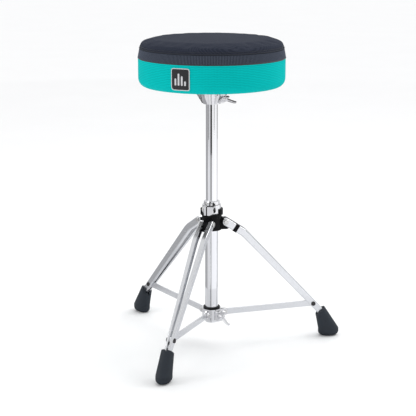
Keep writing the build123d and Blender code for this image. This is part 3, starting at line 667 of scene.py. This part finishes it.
def cover(name, low, high, finish, node):
    """A copy of the cushion between two heights, as cloth with a thickness."""
    piece = copy_of(cushion, name)
    for height, normal in ((low, (0, 0, -1)), (high, (0, 0, 1))):
        if height is not None:
            edit(piece)
            bpy.ops.mesh.bisect(plane_co=(0, 0, height), plane_no=normal, clear_outer=True)
    edit(piece)
    if node == "seat_cover_side":
        pick_faces(piece, lambda place, normal: (math.hypot(place.x, place.y) < side_opening
                                                 and normal.z < -0.5))
        bpy.ops.mesh.delete(type="FACE")
    settle(piece, name)
    apply_modifier(piece, "SOLIDIFY", thickness=cloth_thickness, offset=-1, use_even_offset=True)
    dress(piece, finish)
    smooth(piece, 50)
    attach(piece, "seat")
    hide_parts(node)
    report(piece)
    return piece


top_cover = cover("seat_top_cover", welt, None, top_fabric, "seat_cover_top")
band_cover = cover("seat_band", seam, welt, band_fabric, "seat_cover_band")
side_cover = cover("seat_side_cover", None, seam, side_fabric, "seat_cover_side")

# %% [markdown]
# A mirror close under a bright fabric picks up its colour as long streaks, which here would
# turn parts of the legs teal. The legs are to read as plain chrome, so mirrors don't see the
# side cover at all. Light that bounces off it softly is kept.

# %% Keeping the teal out of the chrome
side_cover.visible_glossy = False
print(side_cover.name, "is left out of reflections")

# %% [markdown]
# The cushion itself stays inside as the foam. It is drawn in by a little more than the
# cloth's thickness, so that it touches no cover.

# %% The foam inside
edit(cushion)
bpy.ops.transform.shrink_fatten(value=-slack)
settle(cushion, "seat_foam")
dress(cushion, foam)
smooth(cushion, 60)
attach(cushion, "seat")
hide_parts("foam_pad")
report(cushion)

# %% [markdown]
# ## Ribs on the band
# The band is a webbing with a cord every few millimetres. A bump would vanish at the
# outline, so the cords are modelled. They must follow the swollen fabric, so a ray is sent
# in from outside first, to find where it is.

# %% Where the swollen fabric is
def skin_radius(piece, height, azimuth=0.0):
    """How far out a cover's surface stands, at a height and a direction."""
    bpy.context.view_layer.update()
    way = Vector((math.cos(azimuth), math.sin(azimuth), 0))
    hit, place, _, _ = piece.ray_cast(way * 0.3 + Vector((0, 0, height)), -way)
    return math.hypot(place.x, place.y) if hit else seat_radius


print(f"the band stands {1000 * skin_radius(band_cover, (seam + welt) / 2):.1f} mm from the axis")

# %% [markdown]
# One cord is a tiny six-sided rod, extruded upwards in four steps so that it follows the
# band's lean. It is then repeated round the seat.

# %% The ribs
rib_count, rib_radius, rib_stand = 312, 0.00085, 0.00005
rib_foot, rib_trim = 0.0012, 0.0030
heights = [seam + rib_foot + share * (welt - seam - rib_trim) for share in (0, 0.25, 0.5, 0.75, 1)]
radii = [skin_radius(band_cover, height) + rib_stand for height in heights]
deselect()
bpy.ops.mesh.primitive_circle_add(vertices=6, radius=rib_radius, fill_type="NGON",
                                  location=(radii[0], 0, heights[0]))
rib = bpy.context.active_object
edit(rib)
for step in range(4):
    climb = (radii[step + 1] - radii[step], 0, heights[step + 1] - heights[step])
    bpy.ops.mesh.extrude_region_move(TRANSFORM_OT_translate={"value": climb})
bpy.ops.mesh.select_all(action="SELECT")
bpy.ops.mesh.normals_make_consistent(inside=False)
settle(rib, "band_ribs")
ring_of(rib, rib_count)
dress(rib, rib_yarn)
smooth(rib, 70)
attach(rib, "seat")
report(rib)

# %% [markdown]
# ## Piping, and the painted shade at the seam above the side
# A thin roll of fabric covers the seam between the top and the band. At the seam above the side
# a dark ring stands for the band's folded lower edge, and its dark colour is painted shade: the
# shadow line under that fold. Both start as rings, which are flattened or deepened and made
# slightly uneven, as sewing does.

# %% The two seam rings
def seam_ring(name, radius, height, thickness, flatten, finish, seed):
    """A ring along a seam: a torus, flattened and a little uneven."""
    deselect()
    bpy.ops.mesh.primitive_torus_add(major_radius=radius, minor_radius=thickness,
                                     major_segments=220, minor_segments=10,
                                     location=(0, 0, height))
    piece = bpy.context.active_object
    edit(piece)
    bpy.ops.transform.resize(value=(1, 1, flatten), center_override=(0, 0, height))
    bpy.ops.transform.vertex_random(offset=0.00022, seed=seed)
    bpy.ops.mesh.vertices_smooth(factor=0.5, repeat=2)
    settle(piece, name)
    dress(piece, finish)
    smooth(piece, 70)
    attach(piece, "seat")
    report(piece)


seam_ring("seat_piping", skin_radius(top_cover, welt + 0.0008) - 0.0002, welt + 0.0004,
          thickness=0.0019, flatten=0.8, finish=piping_fabric, seed=4)
# Painted shade: a dark ring that stands for the shadow line under the band's folded lower edge.
seam_ring("seat_seam_shade_ring", skin_radius(side_cover, seam - 0.0008) - 0.0003, seam,
          thickness=0.0015, flatten=1.1, finish=stitch_thread_and_seam_shade, seed=9)

# %% [markdown]
# ## Stitches
# A lockstitch runs just above the piping. One stitch is a small six-sided rod, laid along the
# seam, with its end faces inset to a point's width. It is modelled once and repeated round
# the seat.

# %% The stitches
stitch_count, stitch_length, thread_radius, stitch_stand = 236, 0.0030, 0.00036, 0.0001
stitch_height = welt + 0.0042
stitch_radius = skin_radius(top_cover, stitch_height) + stitch_stand
deselect()
bpy.ops.mesh.primitive_cylinder_add(vertices=6, radius=thread_radius, depth=stitch_length,
                                    location=(stitch_radius, 0, stitch_height),
                                    rotation=(math.pi / 2, 0, 0))
stitch = bpy.context.active_object
edit(stitch)
pick_faces(stitch, lambda place, normal: abs(normal.z) > 0.9)
bpy.ops.mesh.inset(thickness=0.00014, depth=0.0002)
settle(stitch, "top_stitches")
ring_of(stitch, stitch_count)
dress(stitch, stitch_thread_and_seam_shade)
smooth(stitch, 60)
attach(stitch, "seat")
report(stitch)

# %% [markdown]
# ## The woven patch
# A plain black patch sits on the front of the side cover. It is a flat rectangle with rounded
# corners and a raised stitched border, cut into a grid so that it can bend, then shrinkwrapped
# onto the fabric and given its thickness. A helper makes it, and the bars of its motif too.

# %% A flat sewn shape that is laid on the seat
label_low, label_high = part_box("seat_label")
label_height = (label_low.z + label_high.z) / 2
label_turn = math.radians(-2.6)
border_rise, grid_step = 0.0005, 0.004


def flat_shape(name, width, height, corner_radius, across, level, border):
    """A rounded rectangle in front of the seat, with a border ring and a grid of cuts."""
    start = -(seat_radius + 0.006)
    deselect()
    bpy.ops.mesh.primitive_plane_add(size=1, location=(across, start, level),
                                     rotation=(math.pi / 2, 0, 0))
    piece = bpy.context.active_object
    edit(piece)
    bpy.ops.transform.resize(value=(width, 1, height), center_override=(across, start, level))
    bpy.ops.mesh.bevel(affect="VERTICES", offset=corner_radius, segments=4)
    if border:
        bpy.ops.mesh.inset(thickness=border, depth=0)
    columns = max(1, round(width / grid_step))
    for number in range(1, columns):
        bpy.ops.mesh.select_all(action="SELECT")
        bpy.ops.mesh.bisect(plane_co=(across - width / 2 + width * number / columns, 0, 0),
                            plane_no=(1, 0, 0))
    rows = max(1, round(height / grid_step))
    for number in range(1, rows):
        bpy.ops.mesh.select_all(action="SELECT")
        bpy.ops.mesh.bisect(plane_co=(0, 0, level - height / 2 + height * number / rows),
                            plane_no=(0, 0, 1))
    return settle(piece, name)


def raise_border(piece):
    """Lifts the border's front faces, as a row of satin stitch stands up."""
    edit(piece)
    mesh = bmesh.from_edit_mesh(piece.data)
    bpy.ops.mesh.select_all(action="DESELECT")
    bpy.ops.mesh.select_mode(type="FACE")
    for face in mesh.faces:
        face.select_set(face.material_index == 1 and face.normal.y < -0.7)
    bmesh.update_edit_mesh(piece.data)
    bpy.ops.mesh.extrude_region_shrink_fatten(TRANSFORM_OT_shrink_fatten={"value": border_rise})


# %% [markdown]
# Shrinkwrap pushes the flat shape straight back until it meets the cover, which keeps its
# outline as seen from the front. Solidify then gives the thickness outwards, and a fine bevel
# rounds the sewn edge.

# %% Laying a flat shape on the seat
def sewn_shape(name, width, height, corner_radius, across, up, lift, thickness, border, finishes):
    """A flat shape, laid on the side cover and given its thickness."""
    level = label_height + up
    piece = flat_shape(name, width, height, corner_radius, across, level, border)
    dress(piece, finishes[0])
    if border:
        piece.data.materials.append(finishes[1].material)
        for face in piece.data.polygons:
            inside = (abs(face.center.x - across) < width / 2 - border
                      and abs(face.center.z - label_height - up) < height / 2 - border)
            face.material_index = 0 if inside else 1
    piece.rotation_euler = (0, 0, label_turn)
    settle(piece, name)
    apply_modifier(piece, "SHRINKWRAP", target=side_cover, wrap_method="PROJECT",
                   use_negative_direction=True, use_positive_direction=True, offset=lift,
                   wrap_mode="ABOVE_SURFACE")
    apply_modifier(piece, "SOLIDIFY", thickness=thickness, offset=1)
    if border:
        raise_border(piece)
        settle(piece, name)
    apply_modifier(piece, "BEVEL", width=0.0002, segments=2, limit_method="ANGLE",
                   angle_limit=math.radians(50))
    smooth(piece, 40)
    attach(piece, "seat")
    report(piece)
    return piece


# %% [markdown]
# The patch comes first, and stands in for the label of the CAD model. Its motif is four plain
# upright bars of different heights, on one line, which lie on the patch.

# %% The patch and its bars
patch = sewn_shape("seat_patch", width=0.040, height=0.044, corner_radius=0.005, across=0, up=0,
                   lift=0.0002, thickness=0.0009, border=0.0016, finishes=(patch_weave, pale_thread))
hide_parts("seat_label")

bar_foot = -0.0125
bars = ((-0.0105, 0.014), (-0.0035, 0.024), (0.0035, 0.019), (0.0105, 0.009))
for number, (across, tall) in enumerate(bars, start=1):
    sewn_shape(f"patch_bar_{number}", width=0.0038, height=tall, corner_radius=0.0014, across=across,
               up=tall / 2 + bar_foot, lift=0.0009, thickness=0.0006, border=0,
               finishes=(pale_thread,))

# %% [markdown]
# ## Underside cloth
# Black pressed cloth is stapled under the board. It is a thin disc with rings inset into it.
# The rings near the rim give it points to move, so that it puckers a little between staples.

# %% The dust cloth
cloth_low, cloth_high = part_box("dust_cover")
pucker_count, pucker_depth, pucker_inset, pucker_reach = 30, 0.00035, 0.004, 0.012
deselect()
bpy.ops.mesh.primitive_cylinder_add(vertices=180, radius=cloth_high.x, depth=cloth_high.z - cloth_low.z,
                                    location=(0, 0, (cloth_low.z + cloth_high.z) / 2))
dust_cloth = bpy.context.active_object
edit(dust_cloth)
for step in (0.003, 0.003, 0.004, 0.006, 0.012, 0.030):
    pick_faces(dust_cloth, lambda place, normal: (abs(normal.z) > 0.9
                                                  and math.hypot(place.x, place.y) < 0.001))
    bpy.ops.mesh.inset(thickness=step, depth=0)
settle(dust_cloth, "underside_cloth")
for vertex in dust_cloth.data.vertices:
    reach = math.hypot(vertex.co.x, vertex.co.y)
    turn = math.atan2(vertex.co.y, vertex.co.x)
    fade = max(0.0, 1 - abs(reach - cloth_high.x + pucker_inset) / pucker_reach)
    vertex.co.z -= pucker_depth * fade * (1 - math.cos(pucker_count * turn))
dress(dust_cloth, felt)
smooth(dust_cloth, 40)
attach(dust_cloth, "seat")
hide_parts("dust_cover")
report(dust_cloth)

# %% [markdown]
# ## Floor
# A product shot on white: a very pale floor that runs out of sight under a bright room. It
# lies a hair below the feet, so that their soles and the floor don't flicker.

# %% The floor
floor_gap = 0.0005
deselect()
bpy.ops.mesh.primitive_plane_add(size=40, location=(0, 0, -floor_gap))
floor = bpy.context.active_object
floor.name = "studio_floor"
paper = Finish("pale_paper", 0.9)
paper.colour(paper.blend(paper.noise(3.0), (0.93, 0.93, 0.93), (0.96, 0.96, 0.96)))
dress(floor, paper)
print("floor at", -floor_gap)

# %% [markdown]
# ## Flags, seen only in reflections
# In an all-white room a chrome tube looks like white plastic. It needs something dark to
# mirror, so a studio stands flags round the set. An upright tube seen from above mirrors the
# floor: low on the tube the floor close by, and higher up the floor further off. So most
# flags here are cards on the floor, each a slice of a ring round the post, and the distance
# they cover sets the stretch of the tube on which they show.

# %% Helpers for the flags
view_turn = math.radians(21.36)
card_height = 0.002


def hide_from_camera(card):
    """Leaves a card visible in mirrors only."""
    card.visible_camera = False
    card.visible_shadow = False
    card.visible_diffuse = False


def flag(name, first, last, near, far, shade):
    """A card on the floor, between two angles and two distances from the post.

    The angles count from the camera's side, positive to the right.
    """
    deselect()
    bpy.ops.mesh.primitive_circle_add(vertices=120, radius=near, fill_type="NOTHING",
                                      location=(0, 0, card_height))
    card = bpy.context.active_object
    card.name = name
    edit(card)
    bpy.ops.mesh.extrude_edges_move()
    bpy.ops.transform.resize(value=(far / near, far / near, 1), center_override=(0, 0, card_height))
    pick_faces(card, lambda place, normal: not first < math.degrees(math.atan2(place.x, -place.y)) < last)
    bpy.ops.mesh.delete(type="FACE")
    deselect()
    card.rotation_euler = (0, 0, view_turn)
    cloth = Finish(name + "_cloth", 1.0)
    cloth.colour(cloth.blend(cloth.noise(2.0), (shade, shade, shade * 1.02),
                             (shade * 1.1, shade * 1.1, shade * 1.13)))
    dress(card, cloth)
    hide_from_camera(card)


# %% [markdown]
# Rows give first and last angle, near and far distance, and shade. The black one puts the
# dark stripe on the post, and greys fade it out below, and make one side of every tube
# darker than the other.

# %% The cards on the floor
floor_cards = {
    "black_flag": (-27, 6, 2.19, 4.6, 0.004),
    "front_flag": (-27, 2, 1.30, 2.19, 0.26),
    "near_flag": (-15, -3, 0.04, 1.30, 0.30),
    "ground_left_flag": (-180, -15, 0.04, 0.40, 0.55),
    "ground_right_flag": (-3, 180, 0.04, 0.40, 0.66),
    "middle_right_flag": (-3, 110, 0.40, 1.30, 0.80),
    "left_flag": (-78, -27, 0.40, 4.6, 0.60),
    "far_left_flag": (-180, -78, 0.40, 4.6, 0.31),
    "far_right_flag": (110, 180, 0.40, 4.6, 0.52),
}
for name, (first, last, near, far, shade) in floor_cards.items():
    flag(name, first, last, near, far, shade)
print(len(floor_cards), "cards on the floor")

# %% [markdown]
# The castings and the bars face more ways than the tubes do, so three upright black strips
# stand round them too. Each gives a crisp dark edge to what faces it.

# %% The upright strips
strip_size, strip_height = (0.30, 2.0, 1), 1.15
strip_places = ((-62, 1.7), (47, 1.9), (148, 1.7))
for number, (angle, away) in enumerate(strip_places, start=1):
    deselect()
    way = Vector((math.sin(math.radians(angle)), -math.cos(math.radians(angle)), 0)) * away
    way.rotate(Matrix.Rotation(view_turn, 3, "Z"))
    bpy.ops.mesh.primitive_plane_add(size=1, location=(way.x, way.y, strip_height),
                                     rotation=(math.pi / 2, 0, view_turn + math.radians(angle)))
    strip = bpy.context.active_object
    strip.name = f"strip_flag_{number}"
    strip.scale = strip_size
    black_cloth = Finish(strip.name + "_cloth", 1.0)
    black_cloth.colour(black_cloth.blend(black_cloth.noise(2.0), (0.01, 0.01, 0.01), (0.02, 0.02, 0.02)))
    dress(strip, black_cloth)
    hide_from_camera(strip)
print(len(strip_places), "upright strips")

# %% [markdown]
# ## Lights
# Light comes softly from the right and above, as from a large window, and a weaker panel
# lifts the left side. Both are aimed at the middle of the throne, by an arrow from the
# panel's place to that point.

# %% Two soft panels
towards = Vector((math.sin(view_turn), -math.cos(view_turn), 0))
sideways = Vector((math.cos(view_turn), math.sin(view_turn), 0))
aim = Vector((0, 0, 0.45))


def panel(name, place, size, watts):
    """A large soft panel aimed at the middle of the throne."""
    deselect()
    bpy.ops.object.light_add(type="AREA", location=place)
    lamp = bpy.context.active_object
    lamp.name = name
    lamp.data.shape = "RECTANGLE"
    lamp.data.size, lamp.data.size_y = size
    lamp.data.energy = watts
    lamp.rotation_euler = (aim - Vector(place)).to_track_quat("-Z", "Y").to_euler()


panel("key_panel", tuple(sideways * 1.7 - towards * 0.5 + Vector((0, 0, 2.0))), (1.2, 1.2), 14)
panel("left_panel", tuple(-sideways * 2.0 + towards * 0.6 + Vector((0, 0, 1.2))), (0.6, 1.4), 8)
print("two panels placed")

# %% [markdown]
# A wide sun, sixty degrees across, stands for the bright ceiling. It gives the faint shadow
# that sets the feet on the floor. The room itself is nearly white and lights all the rest,
# and the Standard view keeps white white.

# %% The ceiling and the room
deselect()
bpy.ops.object.light_add(type="SUN", location=(0, 0, 3),
                         rotation=(math.radians(-32), math.radians(14), view_turn))
sky_panel = bpy.context.active_object
sky_panel.name = "sky_panel"
sky_panel.data.energy = 0.9
sky_panel.data.angle = math.radians(60)

world = bpy.data.worlds.new("studio_room")
world.use_nodes = True
world.node_tree.nodes["Background"].inputs["Color"].default_value = (0.985, 0.99, 1.0, 1)
world.node_tree.nodes["Background"].inputs["Strength"].default_value = 0.8
bpy.context.scene.world = world
bpy.context.scene.view_settings.view_transform = "Standard"

# %% [markdown]
# ## Camera
# The throne is seen from a little above the seat's edge and to the right of the front leg,
# with a long lens, as in a catalogue. Nothing is out of focus.

# %% Camera
camera_place, camera_tilt, focal_length = (0.9014, -2.3269, 0.9019), 13.499, 102.4
deselect()
bpy.ops.object.camera_add(location=camera_place,
                          rotation=(math.radians(90 - camera_tilt), 0, view_turn))
camera = bpy.context.active_object
camera.name = "studio_camera"
camera.data.sensor_width = 36
camera.data.lens = focal_length
bpy.context.scene.camera = camera
print("camera at", tuple(round(v, 3) for v in camera.location))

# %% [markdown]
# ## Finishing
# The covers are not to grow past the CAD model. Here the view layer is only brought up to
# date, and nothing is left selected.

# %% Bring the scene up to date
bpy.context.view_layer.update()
deselect()
